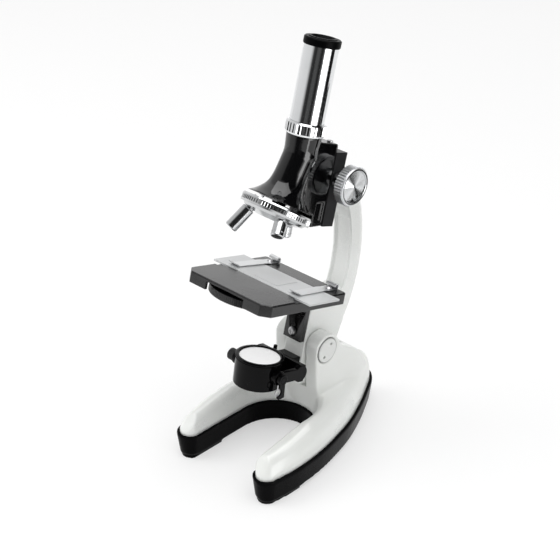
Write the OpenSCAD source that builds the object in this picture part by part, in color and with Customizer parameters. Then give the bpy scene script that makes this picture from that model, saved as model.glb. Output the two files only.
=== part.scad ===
// Student microscope with an inclined three-lens nosepiece, rack and pinion
// focus, square stage, flip-over lamp drum and a horseshoe base.
// Millimetres. +Z is up, the open side of the horseshoe faces -Y.
// The origin is on the ground under the middle of the base.

/* [Posture] */
// lean of arm, stage and head behind the upright, in degrees
lean = 15.5; // [5:0.5:25]
// height of the tilt pin above the ground
pivot_z = 64.1; // [62:0.1:67]
// distance of the tilt pin behind the middle of the base
pivot_y = 8.8; // [8:0.1:10]

/* [Base] */
// centre of each prong tip, sideways
tip_x = 32; // [31.6:0.1:32.5]
// centre of each prong tip, in front of the tilt pin
tip_y = 67.3; // [62:0.1:70]
// radius of the casting at the prong tips
tip_r = 6.75; // [6.3:0.05:7]
// half width of the horseshoe opening
mouth_r = 25.7; // [25:0.1:26.2]
// centre of the round end of the opening, in front of the tilt pin
mouth_y = 27.7; // [26.5:0.1:29]
// top of the casting behind the prongs
flange_z = 35; // [34:0.1:36]
// where the prongs begin to fall, in front of the tilt pin
fall_y = 33; // [28:0.5:38]
// forward fall of the prongs, in degrees
prong_fall = 9.5; // [8:0.25:10.5]
// wall of the casting
cast_wall = 3; // [2.4:0.1:3.4]
// top of the flared tray lip
lip_z = 17; // [16:0.1:18]
// how far the tray lip stands out from the casting
lip_out = 1.9; // [1.4:0.1:2.2]
// height of the feet under the tray
foot_h = 2.4; // [1.6:0.1:3]
// floor of the tray
tray_floor = 2; // [1.6:0.1:2.4]

/* [Hinge] */
// half width across the two ears
ear_x = 17; // [16.5:0.1:18.5]
// radius of the ear tops
ear_r = 10.5; // [10:0.1:11.5]
// half width of the slot between the ears
slot_x = 7.65; // [7.6:0.01:7.75]
// radius of the tilt pin
pin_r = 3; // [2.5:0.1:3.2]
// radius of the two-hole tilt nuts
nut_r = 7.9; // [7.2:0.1:8.4]

/* [Arm] */
// half width of the arm
arm_x = 7.3; // [7.1:0.05:7.35]
// radius of the hollow of the bow
bow_in = 87.2; // [86.5:0.1:88]
// radius of the back of the bow
bow_out = 100.2; // [99.5:0.1:101]
// rounding of the two back edges
bow_edge = 5.5; // [4.5:0.1:6]
// depth of the front panel
panel_deep = 1; // [0.6:0.1:1.5]

/* [Stage] */
// width of the stage
stage_w = 64.5; // [62:0.1:67]
// depth of the stage
stage_d = 68; // [66:0.1:69.5]
// height of the stage top above the tilt pin, along the tube
stage_z = 44.25; // [43:0.05:45.5]
// height of the stage side
stage_h = 6.85; // [6.5:0.05:7.5]
// cut of the stage corners
stage_cut = 5; // [3:0.1:6.5]
// depth of the slide channel
channel_deep = 1; // [0.7:0.05:1.1]
// radius of the light hole
light_r = 6.5; // [5:0.1:7]
// radius of the aperture wheel
wheel_r = 26; // [25.5:0.1:26.3]
// width of a stage clip
clip_w = 7; // [5.5:0.1:7.5]
// length of the glass slide
slide_l = 76.2; // [72:0.1:78]
// width of the glass slide
slide_w = 25.4; // [24:0.1:25.6]
// thickness of the glass slide
slide_t = 1.1; // [1:0.05:1.2]

/* [Head] */
// distance of the light axis in front of the tilt pin
axis_y = 39.9; // [39.4:0.1:40.4]
// height of the lens circle apex above the tilt pin
apex_z = 118.4; // [117.5:0.1:119.5]
// forward lean of the nosepiece, in degrees
nose_lean = 20.3; // [19.5:0.1:21]
// radius of the nosepiece ring
nose_r = 21; // [20.4:0.1:21.2]
// rim radius of the head housing
bell_r = 19.1; // [18:0.1:19.6]
// radius of the housing neck
neck_r = 10.2; // [10.1:0.05:10.6]
// top of the housing neck
neck_z = 130.6; // [129.5:0.1:132]
// half width of the focus slide
block_x = 9; // [8.8:0.1:9.4]
// length of the shortest lens, from the apex
low_l = 47.9; // [46.5:0.1:49]
// length of the middle lens, from the apex
mid_l = 50.2; // [49:0.1:51.5]
// length of the longest lens, from the apex
high_l = 56.3; // [54:0.1:57]
// radius of the lens barrels
lens_r = 3.8; // [3.6:0.05:4.1]

/* [Tube] */
// radius of the chrome tube
tube_r = 9.85; // [9.7:0.05:9.9]
// top of the chrome tube
tube_z = 180.2; // [172:0.1:188]
// radius of the fluted collar
collar_r = 11.4; // [11:0.1:12]
// height of the fluted collar
collar_h = 7.2; // [6:0.1:8]
// radius of the eyepiece cap
cap_r = 10.5; // [10.2:0.1:11.5]
// height of the eyepiece cap
cap_h = 4.3; // [3.5:0.1:6]

/* [Focus] */
// distance of the pinion in front of the tilt pin
pinion_y = 14.5; // [14.4:0.05:14.6]
// height of the pinion above the tilt pin
pinion_z = 104.9; // [104.5:0.1:106]
// pitch radius of the pinion
pitch_r = 3; // [2.95:0.05:3.05]
// radius of the focus knobs
knob_r = 11.7; // [10.5:0.1:12.5]
// thickness of the knob rim
knob_t = 6; // [5:0.1:7]
// outer face of the focus knobs
knob_x = 23.2; // [22:0.1:26]
// radius of the knob hubs
hub_r = 5; // [4:0.1:5.2]

/* [Lamp] */
// rim radius of the lamp drum
drum_r = 14.3; // [13.8:0.1:14.5]
// radius of the mirror
mirror_r = 12.1; // [11.5:0.1:12.4]
// depth of the lamp drum
drum_h = 17.7; // [17.2:0.1:18.2]
// height of the drum rim above its hinge
axis_drop = 8.3; // [7.9:0.1:8.6]
// forward pitch of the drum at rest, in degrees
drum_pitch = 5; // [0:0.5:8]
// height of the drum rim below the tilt pin
drum_z = 3; // [2:0.1:4]

/* [Fits] */
// radial play of turning and sliding parts
run_fit = 0.05; // [0.03:0.01:0.08]
// gap between pieces that pass each other
pass_gap = 0.3; // [0.25:0.05:0.4]
// node to draw

/* [Hidden] */
$fn = 48;
eps = 0.01;
white_cast = [0.90, 0.90, 0.89];
black_gloss = [0.05, 0.05, 0.055];
black_satin = [0.10, 0.10, 0.105];
chrome = [0.80, 0.80, 0.82];
steel = [0.62, 0.62, 0.64];
glass = [0.80, 0.88, 0.90];
tray_bed = lip_z - 2;
bow_y = -70.5;
bow_z = 43;
bow_turn = 27.56;
head_out = 28;
head_y = bow_y + (bow_out - head_out) * cos(bow_turn);
head_z = bow_z + (bow_out - head_out) * sin(bow_turn);
head_in = head_out - (bow_out - bow_in);
guide_back = -10;
split_y = -19.7;
guide_front = split_y + pass_gap;
rack_line = -pinion_y - pitch_r;
screw_seat = -16.1;
clip_x = stage_w / 2 - 9.25;
clip_y = -19.6;
clamp_z = 8.4;
tooth_n = 8;
tooth_p = 2 * 3.14159265 * pitch_r / tooth_n;
stage_front = -13.65 - stage_d;
stage_back = -13.65;
wheel_y = -82.4 + wheel_r;
wheel_z = 36;
wheel_t = 4.2;
bed_z = stage_z - channel_deep;
drum_axis = -drum_z - axis_drop;
ring_top = 30.8;
ring_low = 35.9;
lens_seat_l = ring_low + 5.5;

// smooth curve through a list of points; the first and last only steer it
function bend(a, b, c, d, t) =
  0.5 * (2 * b + (c - a) * t + (2 * a - 5 * b + 4 * c - d) * t * t + (3 * b - a - 3 * c + d) * t * t * t);
function curve(p, n) =
  concat([for (i = [1 : len(p) - 3]) for (k = [0 : n - 1]) bend(p[i - 1], p[i], p[i + 1], p[i + 2], k / n)],
    [p[len(p) - 2]]);
function flip(p) = [for (i = [len(p) - 1 : -1 : 0]) [-p[i][0], p[i][1]]];
// closed outline with n ribs between the radii r - d and r
function ribs(r, d, n) =
  [for (i = [0 : n - 1]) for (q = [[0.08, r - d], [0.30, r], [0.70, r], [0.92, r - d]])
    [q[1] * cos(360 * (i + q[0]) / n), q[1] * sin(360 * (i + q[0]) / n)]];

// everything above the tilt pin leans with this frame
module posed() {
  translate([0, pivot_y, pivot_z]) rotate([-lean, 0, 0]) children();
}

// frame of the light axis
module on_axis() {
  translate([0, -axis_y, 0]) children();
}

// frame of the inclined nosepiece, apex at the origin, the ring below it
module nose() {
  posed() translate([0, -axis_y, apex_z]) rotate([-nose_lean, 0, 0]) children();
}

// frame of lens k: the barrel runs down from the apex
module lens_seat(k) {
  nose() rotate([0, 0, 120 * k]) rotate([nose_lean, 0, 0]) children();
}

// a bar along X with the outline given in the Y-Z plane
module across(half) {
  rotate([90, 0, 90]) translate([0, 0, -half]) linear_extrude(2 * half) children();
}

// a round bar along X from a to b
module bar_x(a, b, r) {
  translate([a, 0, 0]) rotate([0, 90, 0]) cylinder(r = r, h = b - a);
}

/* base -------------------------------------------------------------- */

side_pts = [[38.2, -76], [tip_x + tip_r, -tip_y], [39.9, -56], [40.1, -46], [38.7, -29], [35.6, -12.8],
  [30.3, 6.5], [22, 26], [14.6, 40], [8, 51], [0, 56.5], [-8, 51]];
side_curve = curve(side_pts, 4);

// unit normal of the side curve at point i
function side_norm(i) =
  let (a = side_curve[max(i - 1, 0)], b = side_curve[min(i + 1, len(side_curve) - 1)], d = norm(b - a))
  i == len(side_curve) - 1 ? [0, 1] : [(b[1] - a[1]) / d, (a[0] - b[0]) / d];
// right half of the horseshoe outline, grown by g, from the prong tip to the rear
function half_line(g) =
  concat([for (a = [-90 : 15 : -15]) [tip_x + (tip_r + g) * cos(a), -tip_y + (tip_r + g) * sin(a)]],
    [for (i = [0 : len(side_curve) - 1]) side_curve[i] + g * side_norm(i)]);
function drop_last(p) = [for (i = [0 : len(p) - 2]) p[i]];

// outline of the horseshoe with the opening filled, grown by g
module full_outline(g) {
  polygon(concat(half_line(g), flip(drop_last(half_line(g)))));
}

// the opening of the horseshoe, grown by g
module mouth(g) {
  polygon(concat([[-mouth_r - g, -100], [mouth_r + g, -100]],
    [for (a = [0 : 6 : 180]) [(mouth_r + g) * cos(a), -mouth_y + (mouth_r + g) * sin(a)]]));
}

// opening whose wall leans: grown by g at height z and by s for each millimetre above it
module flared_mouth(z, g, s) {
  hull() {
    translate([0, 0, z - 8]) linear_extrude(0.5) mouth(g - 8 * s);
    translate([0, 0, z + 8]) linear_extrude(0.5) mouth(g + 8 * s);
  }
}

// square corner left at the inside of a prong tip
module tip_corner(s, z0, z1, r0, r1) {
  difference() {
    translate([s > 0 ? tip_x - 12 : -tip_x, -tip_y - 14, z0 - 1]) cube([12, 14, z1 - z0 + 2]);
    translate([s * tip_x, -tip_y, z0]) cylinder(r1 = r0, r2 = r1, h = z1 - z0);
    translate([s * tip_x, -tip_y, z0 - 2]) cylinder(r = r0, h = 2 + eps);
    translate([s * tip_x, -tip_y, z1 - eps]) cylinder(r = r1, h = 3);
  }
}

// turns what it holds forward by a, about the line where the prongs begin to fall
module fallen(a) {
  translate([0, -fall_y, flange_z]) rotate([a, 0, 0]) translate([0, fall_y, -flange_z]) children();
}

// block with a rounded top edge, its top turned forward by a, its foot grown by g
module crowned(a, g) {
  hull() {
    translate([0, 0, tray_bed]) linear_extrude(3) full_outline(g);
    fallen(a) for (q = [[0.05, -12], [0.9, -7.6], [2.4, -4.4], [4.6, -1.9], [7.4, -0.1]])
      translate([0, 0, flange_z + q[1]]) linear_extrude(0.1) full_outline(-q[0]);
  }
}

// smooth flange of the casting
module flange() {
  intersection() {
    crowned(0, 0);
    crowned(prong_fall, 0.6);
  }
}

// cutter that rounds the inner top edge of the opening
module inner_round() {
  for (a = [0, prong_fall]) fallen(a) {
    flared_mouth(flange_z - 3.4, 0, 0.6);
    flared_mouth(flange_z - 1.5, 1.1, 1.5);
  }
}

hump_top = [[-2.2, tray_bed + 1], [-9.4, 41], [-9.4, pivot_z], [7.2, pivot_z + 7.6], [10.6, pivot_z + 2.6],
  [13, pivot_z - 2], [20.6, 57.2], [28, 52.6], [33, 47.6], [38, 41.6], [42.5, 35.6], [46, 30.2],
  [49, 24], [51, tray_bed + 1]];
hump_side = curve([[17, 0], [17, 20], [15.8, 30], [12, 40.5], [7, 48], [0, 51.5], [-7, 48]], 6);
hump_plan = [for (q = hump_side) [q[0] * ear_x / 17, q[1]]];

// space inside the casting
module hollow_plan(w) {
  difference() {
    full_outline(-w);
    mouth(w);
    for (q = tray_holes) translate([q[0], q[1]]) circle(r = 3.4);
  }
}

module base_casting() {
  color(white_cast) translate([0, pivot_y, 0]) difference() {
    union() {
      difference() {
        flange();
        translate([0, 0, tray_bed - 1]) linear_extrude(50) mouth(0);
        for (s = [-1, 1]) tip_corner(s, tray_bed, 40, tip_r, tip_r);
        inner_round();
      }
      intersection() {
        across(ear_x) polygon(hump_top);
        translate([0, 0, tray_bed]) linear_extrude(60) polygon(concat([[ear_x, -20]], hump_plan,
          flip(drop_last(hump_plan)), [[-ear_x, -20]]));
      }
      intersection() {
        translate([0, 0, pivot_z]) bar_x(-ear_x, ear_x, ear_r);
        translate([-30, -9.4, 40]) cube([60, 40, 60]);
      }
    }
    // slot for the arm
    translate([0, 0, pivot_z]) bar_x(-slot_x, slot_x, 27);
    translate([-slot_x, -40, 37.5]) cube([2 * slot_x, 52, 60]);
    // hollow underside
    translate([0, 0, tray_bed - 1]) linear_extrude(23 - tray_bed + 1) hollow_plan(3.6);
    translate([0, 0, 22]) linear_extrude(2.4) hollow_plan(4.8);
    for (q = tray_holes) translate([q[0], q[1], tray_bed - 1]) cylinder(r = 1.2, h = 9);
    // pin bore and nut seats
    translate([0, 0, pivot_z]) {
      bar_x(-30, 30, pin_r + 0.02);
      for (s = [-1, 1])
        bar_x(s > 0 ? ear_x - 2.5 : -ear_x - 5, s > 0 ? ear_x + 5 : -ear_x + 2.5, nut_r + 0.3);
    }
    // round mould mark on each cheek
    for (s = [-1, 1]) translate([s * ear_x, 25, 44]) bar_x(-0.5, 0.5, 1.3);
  }
}

tray_holes = [[32.9, -52], [-32.9, -52], [21, 15], [-21, 15]];

module base_tray() {
  color(black_satin) translate([0, pivot_y, 0]) difference() {
    union() {
      difference() {
        hull() {
          translate([0, 0, foot_h]) linear_extrude(0.5) full_outline(0.2);
          translate([0, 0, lip_z - 2]) linear_extrude(1.6) full_outline(lip_out);
          translate([0, 0, lip_z - 0.2]) linear_extrude(0.2) full_outline(lip_out - 0.3);
        }
        // flared opening
        hull() {
          translate([0, 0, foot_h - 1]) linear_extrude(0.5) mouth(-0.1);
          translate([0, 0, lip_z + 0.5]) linear_extrude(0.5) mouth(-lip_out);
        }
        for (s = [-1, 1]) tip_corner(s, foot_h - 0.1, lip_z + 0.1, tip_r + 0.2, tip_r + lip_out);
      }
      // feet
      for (s = [-1, 1]) intersection() {
        linear_extrude(foot_h + 0.5) difference() {
          full_outline(-0.6);
          mouth(0.6);
        }
        translate([s > 0 ? 20 : -60, -90, -1]) cube([40, 90 - 47, 9]);
      }
      intersection() {
        linear_extrude(foot_h + 0.5) full_outline(-0.6);
        translate([-60, 36, -1]) cube([120, 40, 9]);
      }
    }
    for (s = [-1, 1]) tip_corner(s, -1, foot_h - 0.1, tip_r - 0.6, tip_r - 0.6);
    // pocket that takes the casting
    difference() {
      translate([0, 0, tray_bed]) linear_extrude(10) full_outline(0.05);
      translate([0, 0, tray_bed - 1]) linear_extrude(12) mouth(-0.05);
      for (s = [-1, 1]) tip_corner(s, tray_bed - 1, lip_z + 10, tip_r + 0.05, tip_r + 0.05);
    }
    // hollow above the floor
    difference() {
      translate([0, 0, foot_h + tray_floor]) linear_extrude(tray_bed - foot_h) full_outline(-1.8);
      translate([0, 0, foot_h]) linear_extrude(22) mouth(1.8);
      for (q = tray_holes) translate([q[0], q[1], 0]) cylinder(r = 3.2, h = tray_bed);
    }
    for (q = tray_holes) translate([q[0], q[1], -1]) {
      cylinder(r = 1.55, h = 30);
      cylinder(r = 2.9, h = foot_h + 5);
    }
  }
}

module tray_screws() {
  color(steel) translate([0, pivot_y, 0]) for (q = tray_holes) translate([q[0], q[1], 0]) difference() {
    union() {
      translate([0, 0, foot_h + 2.4]) cylinder(r = 2.6, h = 1.6);
      translate([0, 0, foot_h + 3]) cylinder(r = 1.17, h = tray_bed + 6.5 - foot_h - 3);
    }
    for (a = [0, 90]) rotate([0, 0, a]) translate([-1.6, -0.3, foot_h + 2]) cube([3.2, 0.6, 1.2]);
  }
}

module tilt_pin() {
  color(steel) translate([0, pivot_y, pivot_z]) bar_x(-ear_x + 1.2, ear_x - 1.2, pin_r);
}

module tilt_nut(s) {
  color(white_cast) translate([0, pivot_y, pivot_z]) difference() {
    mirror([s > 0 ? 0 : 1, 0, 0]) difference() {
      union() {
        bar_x(ear_x - 2.5, ear_x + 0.1, nut_r);
        bar_x(ear_x + 0.1 - eps, ear_x + 0.35, nut_r - 0.7);
      }
      bar_x(ear_x - 3, ear_x - 1.2, pin_r + 0.02);
      for (a = [49, 229]) rotate([a, 0, 0]) translate([0, 4.6, 0]) bar_x(ear_x - 1.6, ear_x + 1, 0.95);
    }
  }
}

module tilt_nut_right() {
  tilt_nut(1);
}

module tilt_nut_left() {
  tilt_nut(-1);
}

/* arm --------------------------------------------------------------- */

// section of the bow: square front, rounded back, radius along x, drawn in by e
module bow_section(r0, r1, e) {
  square_to = r1 - bow_edge - e;
  flat_x = arm_x - bow_edge - e;
  polygon(concat([[r0 + e, arm_x - e], [r0 + e, -arm_x + e]],
    [for (a = [-90 : 11.25 : 0]) [square_to + bow_edge * cos(a), -flat_x + bow_edge * sin(a)]],
    [for (a = [0 : 11.25 : 90]) [square_to + bow_edge * cos(a), flat_x + bow_edge * sin(a)]]));
}

// bow section swept about the X axis from angle a over angle b
module bow(y, z, a, b) {
  translate([0, y, z]) rotate([a, 0, 0]) rotate([90, 0, 90]) rotate_extrude(angle = b) children();
}

foot_pts = [[-11, 30], [-11, -20.5], [-9.6, -23.6], [-6.5, -25], [0, -25], [5, -22.4], [11, -17.6],
  [16, -12.4], [19, -6.5], [19.6, 2], [22, 13], [20, 30], [17.2, 34.4], [8, 33.4], [-4, 32.2],
  [-9.6, 31.6]];

module arm() {
  color(white_cast) posed() difference() {
    union() {
      bow(bow_y, bow_z, -27, 27 + bow_turn) bow_section(bow_in, bow_out, 0);
      bow(head_y, head_z, bow_turn - 3, 93 - bow_turn) bow_section(head_in, head_out, 0.03);
      translate([0, head_y + 0.8, head_z]) rotate([90, 0, 0]) linear_extrude(head_y + 0.8 - guide_back)
        rotate([0, 0, 90]) bow_section(head_in, head_out, 0.06);
      across(arm_x - 0.03) polygon(foot_pts);
    }
    // sunk front panel
    bow(bow_y, bow_z, -7, 31) translate([bow_in - 2, -arm_x + 1.7])
      square([2 + panel_deep, 2 * (arm_x - 1.7)]);
    // bores
    bar_x(-20, 20, pin_r + run_fit);
    translate([0, -12, clamp_z]) rotate([-90, 0, 0]) cylinder(r = 1.55, h = 14);
    translate([0, -12, -13]) rotate([-90, 0, 0]) cylinder(r = 1.25, h = 12);
    for (z = guide_screw_z)
      translate([0, guide_back - 1, z]) rotate([-90, 0, 0]) cylinder(r = 1.25, h = 10);
  }
}

guide_screw_z = [93.1, 98];

/* focus ------------------------------------------------------------- */

module focus_guide() {
  color(black_gloss) posed() difference() {
    across(block_x + 0.3) polygon([[guide_front, 77.2], [guide_front, 121.3], [guide_back, 120.9],
      [guide_back, 76.6]]);
    // rack channel
    translate([-3.4, guide_front - 1, 70]) cube([6.8, 1 + rack_line + 1.1 - guide_front, 60]);
    // pinion chamber and shaft bore
    translate([0, -pinion_y, pinion_z]) {
      bar_x(-3, 3, pitch_r + 0.95);
      bar_x(-20, 20, 2 + run_fit);
    }
    // ways for the two ribs of the slide
    for (s = [-1, 1]) mirror([s > 0 ? 0 : 1, 0, 0]) translate([0, 0, 70]) linear_extrude(60)
      polygon([[4.9 - 0.08, guide_front - 1], [6.9 + 0.08, guide_front - 1], [6.9 + 0.08, guide_front],
        [7.7 + 0.08, split_y + 2.78], [4.3 - 0.08, split_y + 2.78], [4.9 - 0.08, guide_front]]);
    for (z = guide_screw_z) translate([0, 0, z]) rotate([-90, 0, 0]) {
      translate([0, 0, screw_seat - 2]) cylinder(r = 1.55, h = 12);
      translate([0, 0, screw_seat - 2]) cylinder(r = 2.2, h = 4);
    }
  }
}

module guide_screws() {
  color(steel) posed() for (z = guide_screw_z) translate([0, 0, z]) rotate([-90, 0, 0]) difference() {
    union() {
      translate([0, 0, screw_seat + 0.2]) cylinder(r = 2.1, h = 1.8);
      translate([0, 0, screw_seat + 1]) cylinder(r = 1.22, h = 12);
    }
    for (a = [0, 90]) rotate([0, 0, a]) translate([-1.5, -0.3, screw_seat]) cube([3, 0.6, 1]);
  }
}

module focus_rack() {
  color(steel) posed() across(3) difference() {
    translate([rack_line - 4.2, 94]) square([4.9, 31]);
    for (i = [-4 : 8]) translate([rack_line, pinion_z + i * tooth_p]) polygon([
      [1, -(tooth_p / 2 - 0.24)], [-0.9, -0.46], [-0.9, 0.46], [1, tooth_p / 2 - 0.24]]);
  }
}

module pinion_shaft() {
  color(steel) posed() translate([0, -pinion_y, pinion_z]) {
    bar_x(-knob_x + 1.6, knob_x - 1.6, 2);
    rotate([0, 90, 0]) translate([0, 0, -2.6]) linear_extrude(5.2) union() {
      circle(r = pitch_r - 1.05);
      for (i = [0 : tooth_n - 1]) rotate([0, 0, 270 + 360 * i / tooth_n]) polygon([
        [pitch_r - 1.6, -0.66], [pitch_r + 0.65, -0.26], [pitch_r + 0.65, 0.26], [pitch_r - 1.6, 0.66]]);
    }
  }
}

// knurled knob with a hollow cone face
module focus_knob(s) {
  color(chrome) posed() translate([0, -pinion_y, pinion_z]) mirror([s > 0 ? 0 : 1, 0, 0])
    difference() {
      union() {
        bar_x(block_x + 2 * pass_gap, knob_x - knob_t + eps, hub_r);
        translate([knob_x - knob_t + 0.8, 0, 0]) rotate([0, 90, 0])
          linear_extrude(knob_t - 1.6) polygon(ribs(knob_r, 0.45, 48));
        translate([knob_x - knob_t, 0, 0]) rotate([0, 90, 0])
          cylinder(r1 = knob_r - 0.9, r2 = knob_r - 0.3, h = 1);
        translate([knob_x - 1, 0, 0]) rotate([0, 90, 0])
          cylinder(r1 = knob_r - 0.3, r2 = knob_r - 1, h = 1);
      }
      // turned hollow face and hollow back
      translate([knob_x, 0, 0]) rotate([0, -90, 0]) cylinder(r1 = knob_r - 1.6, r2 = 1.2, h = 1.5);
      translate([knob_x - eps, 0, 0]) bar_x(0, 1, knob_r - 1.6);
      difference() {
        bar_x(knob_x - knob_t - eps, knob_x - knob_t + 3, knob_r - 2.2);
        bar_x(0, knob_x, hub_r);
      }
      bar_x(0, knob_x - 1.6, 2.02);
    }
}

module focus_knob_right() {
  focus_knob(1);
}

module focus_knob_left() {
  focus_knob(-1);
}

/* head -------------------------------------------------------------- */

bell_pts = curve([[22, -1], [bell_r, 0], [bell_r - 2.1, 1.3], [bell_r - 4.1, 3], [13.2, 5], [11.6, 7.2],
  [10.5, 9.8], [9.9, 13], [9.6, 17.5], [9.6, 22]], 3);

module head_housing() {
  color(black_gloss) difference() {
    union() {
      nose() translate([0, 0, -29]) rotate_extrude(angle = 360)
        polygon(concat([[0, 0]], bell_pts, [[9.6, 29], [0, 29]]));
      posed() on_axis() {
        translate([0, 0, apex_z]) sphere(r = 9.8);
        translate([0, 0, apex_z]) cylinder(r = 9.6, h = 4);
        translate([0, 0, apex_z + 4 - eps]) cylinder(r1 = 9.6, r2 = neck_r, h = neck_z - apex_z - 4 + eps);
      }
      nose() translate([0, 0, -ring_top + pass_gap]) cylinder(r = 4, h = 2);
      posed() {
        across(block_x) polygon([[split_y, 77.6], [-29.3, 77.4], [-29.6, 84.6], [-33, 85.8], [-37, 87.6],
          [-38.4, 93], [-axis_y, 99], [-axis_y, neck_z - 2.7], [-36, neck_z - 2.7],
          [split_y, neck_z - 4.4]]);
        for (s = [-1, 1]) mirror([s > 0 ? 0 : 1, 0, 0]) translate([0, 0, 79]) linear_extrude(46)
          polygon([[4.95, split_y - 1], [6.85, split_y - 1], [6.85, split_y], [7.65, split_y + 2.65],
            [4.35, split_y + 2.65], [4.95, split_y]]);
      }
    }
    // light path and tube seat
    posed() on_axis() {
      translate([0, 0, 96]) cylinder(r = 6.4, h = 60);
      translate([0, 0, neck_z - 10]) cylinder(r = 8.6 + 0.02, h = 20);
    }
    // hollow bell
    nose() translate([0, 0, -26.6]) cylinder(r1 = 14.6, r2 = 8, h = 6.6);
    nose() translate([0, 0, -20 - eps]) cylinder(r = 7.4, h = 14);
    lens_seat(0) translate([0, 0, -34]) cylinder(r = 3.6, h = 12);
    // screw hole in the nose plate
    nose() translate([0, 0, -32]) cylinder(r = 1.6, h = 8);
    // seat of the rack
    posed() translate([-3.04, rack_line - 4.23, 93.9]) cube([6.08, 10, 31.2]);
    // panel on each cheek
    posed() for (s = [-1, 1]) translate([s * block_x, -24.6, 86]) cube([2, 6.4, 12], center = true);
    // screw hole on top
    posed() translate([5.5, -23, neck_z - 11]) cylinder(r = 1.05, h = 10);
  }
}

module housing_screw() {
  color(steel) posed() translate([5.5, -23, neck_z]) difference() {
    union() {
      translate([0, 0, -3.85]) cylinder(r = 1.8, h = 0.8);
      translate([0, 0, -10.6]) cylinder(r = 1.03, h = 7);
    }
    translate([-1.2, -0.25, -3.5]) cube([2.4, 0.5, 1]);
  }
}

/* tube -------------------------------------------------------------- */

module tube_collar() {
  color(chrome) posed() on_axis() translate([0, 0, neck_z]) difference() {
    union() {
      translate([0, 0, 1]) linear_extrude(collar_h - 2) polygon(ribs(collar_r, 0.5, 30));
      cylinder(r1 = collar_r - 0.6, r2 = collar_r - 0.2, h = 1 + eps);
      translate([0, 0, collar_h - 1 - eps]) cylinder(r1 = collar_r - 0.2, r2 = collar_r - 0.8, h = 1 + eps);
    }
    translate([0, 0, -1]) cylinder(r = tube_r + 0.04, h = 20);
  }
}

module body_tube() {
  color(chrome) posed() on_axis() difference() {
    union() {
      translate([0, 0, neck_z]) cylinder(r = tube_r, h = tube_z - neck_z);
      translate([0, 0, neck_z - 9]) cylinder(r = 8.6, h = 9 + eps);
    }
    translate([0, 0, neck_z - 10]) cylinder(r = 7.6, h = 40);
    translate([0, 0, neck_z + 4]) cylinder(r = 8.9, h = 100);
  }
}

module eyepiece_body() {
  color(black_gloss) posed() on_axis() difference() {
    union() {
      translate([0, 0, tube_z]) cylinder(r1 = cap_r - 0.25, r2 = cap_r, h = 0.6);
      translate([0, 0, tube_z + 0.6 - eps]) cylinder(r = cap_r, h = cap_h - 1.2 + eps);
      translate([0, 0, tube_z + cap_h - 0.6 - eps]) cylinder(r1 = cap_r, r2 = cap_r - 0.6, h = 0.6 + eps);
      translate([0, 0, tube_z + cap_h - eps]) rotate_extrude(angle = 360)
        polygon([[6.4, 0], [8.2, 0], [7.9, 0.45], [6.8, 0.45]]);
      translate([0, 0, tube_z - 24]) cylinder(r = 8.9 - run_fit, h = 24 + eps);
    }
    translate([0, 0, tube_z - 30]) cylinder(r = 6.6, h = 27.4);
    translate([0, 0, tube_z - 25]) cylinder(r = 7.4, h = 3.6);
    translate([0, 0, tube_z - 4]) cylinder(r = 4.6, h = 12);
    translate([0, 0, tube_z + cap_h - 1.6]) cylinder(r1 = 4.6, r2 = 6.8, h = 2.2);
  }
}

module eye_lens() {
  color(glass) posed() on_axis() translate([0, 0, tube_z - 6.2]) {
    cylinder(r = 6.58, h = 2.4);
    translate([0, 0, 2.4 - eps]) cylinder(r1 = 6.58, r2 = 4.8, h = 1.2);
  }
}

module field_lens() {
  color(glass) posed() on_axis() translate([0, 0, tube_z - 24]) {
    cylinder(r = 7.38, h = 1.6);
    translate([0, 0, 1.6 - eps]) cylinder(r1 = 7.38, r2 = 5.4, h = 1);
  }
}

/* nosepiece --------------------------------------------------------- */

module nosepiece_ring() {
  color(chrome) difference() {
    nose() difference() {
      union() {
        translate([0, 0, -ring_top - 1]) cylinder(r1 = nose_r, r2 = nose_r - 0.5, h = 1);
        translate([0, 0, -ring_low + 1 - eps]) linear_extrude(ring_low - ring_top - 2 + 2 * eps)
          polygon(ribs(nose_r - 0.35, 0.4, 72));
        translate([0, 0, -ring_top - 1.6]) cylinder(r = nose_r, h = 0.62);
        translate([0, 0, -ring_low]) cylinder(r1 = nose_r - 0.5, r2 = nose_r, h = 1.3);
      }
      // hollow below the plate
      translate([0, 0, -ring_low - 1]) cylinder(r = 18.6, h = ring_low - ring_top - 2.2);
      translate([0, 0, -40]) cylinder(r = 2 + run_fit, h = 20);
      // clicks for the spring
      for (k = [0 : 2]) rotate([0, 0, 120 * k + 180]) translate([0, 15.4, -ring_top]) sphere(r = 0.9);
    }
    for (k = [0 : 2]) lens_seat(k) translate([0, 0, -60]) cylinder(r = 3.05, h = 50);
  }
}

module nosepiece_cap() {
  color(chrome) difference() {
    nose() difference() {
      union() {
        translate([0, 0, -ring_low]) cylinder(r = 18.55, h = 1.6);
        translate([0, 0, -ring_low - 1.4]) cylinder(r1 = 17.6, r2 = 18.9, h = 1.4 + eps);
        translate([0, 0, -ring_low - 3.8]) cylinder(r1 = 9, r2 = 17.6, h = 2.4 + eps);
      }
      translate([0, 0, -60]) cylinder(r = 2 + run_fit, h = 60);
      translate([0, 0, -ring_low - 10]) cylinder(r = 4.9, h = 8.6);
    }
    for (k = [0 : 2]) lens_seat(k) translate([0, 0, -60]) cylinder(r = 3.05, h = 50);
  }
}

module nosepiece_screw() {
  color(steel) nose() difference() {
    union() {
      translate([0, 0, -ring_low - 3.4]) cylinder(r = 4.4, h = 1.9);
      translate([0, 0, -ring_low - 1.6]) cylinder(r = 2, h = ring_low - ring_top + 1.6 + pass_gap);
      translate([0, 0, -ring_top]) cylinder(r = 1.58, h = 5);
    }
    translate([-3, -0.45, -ring_low - 4]) cube([6, 0.9, 1.4]);
  }
}

module click_spring() {
  color(steel) nose() {
    translate([-2, -16.6, -29.35]) cube([4, 12.6, 0.35]);
    translate([0, -15.4, -ring_top + 0.06]) cylinder(r1 = 0.4, r2 = 0.9, h = ring_top - 29.4);
  }
}

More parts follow.
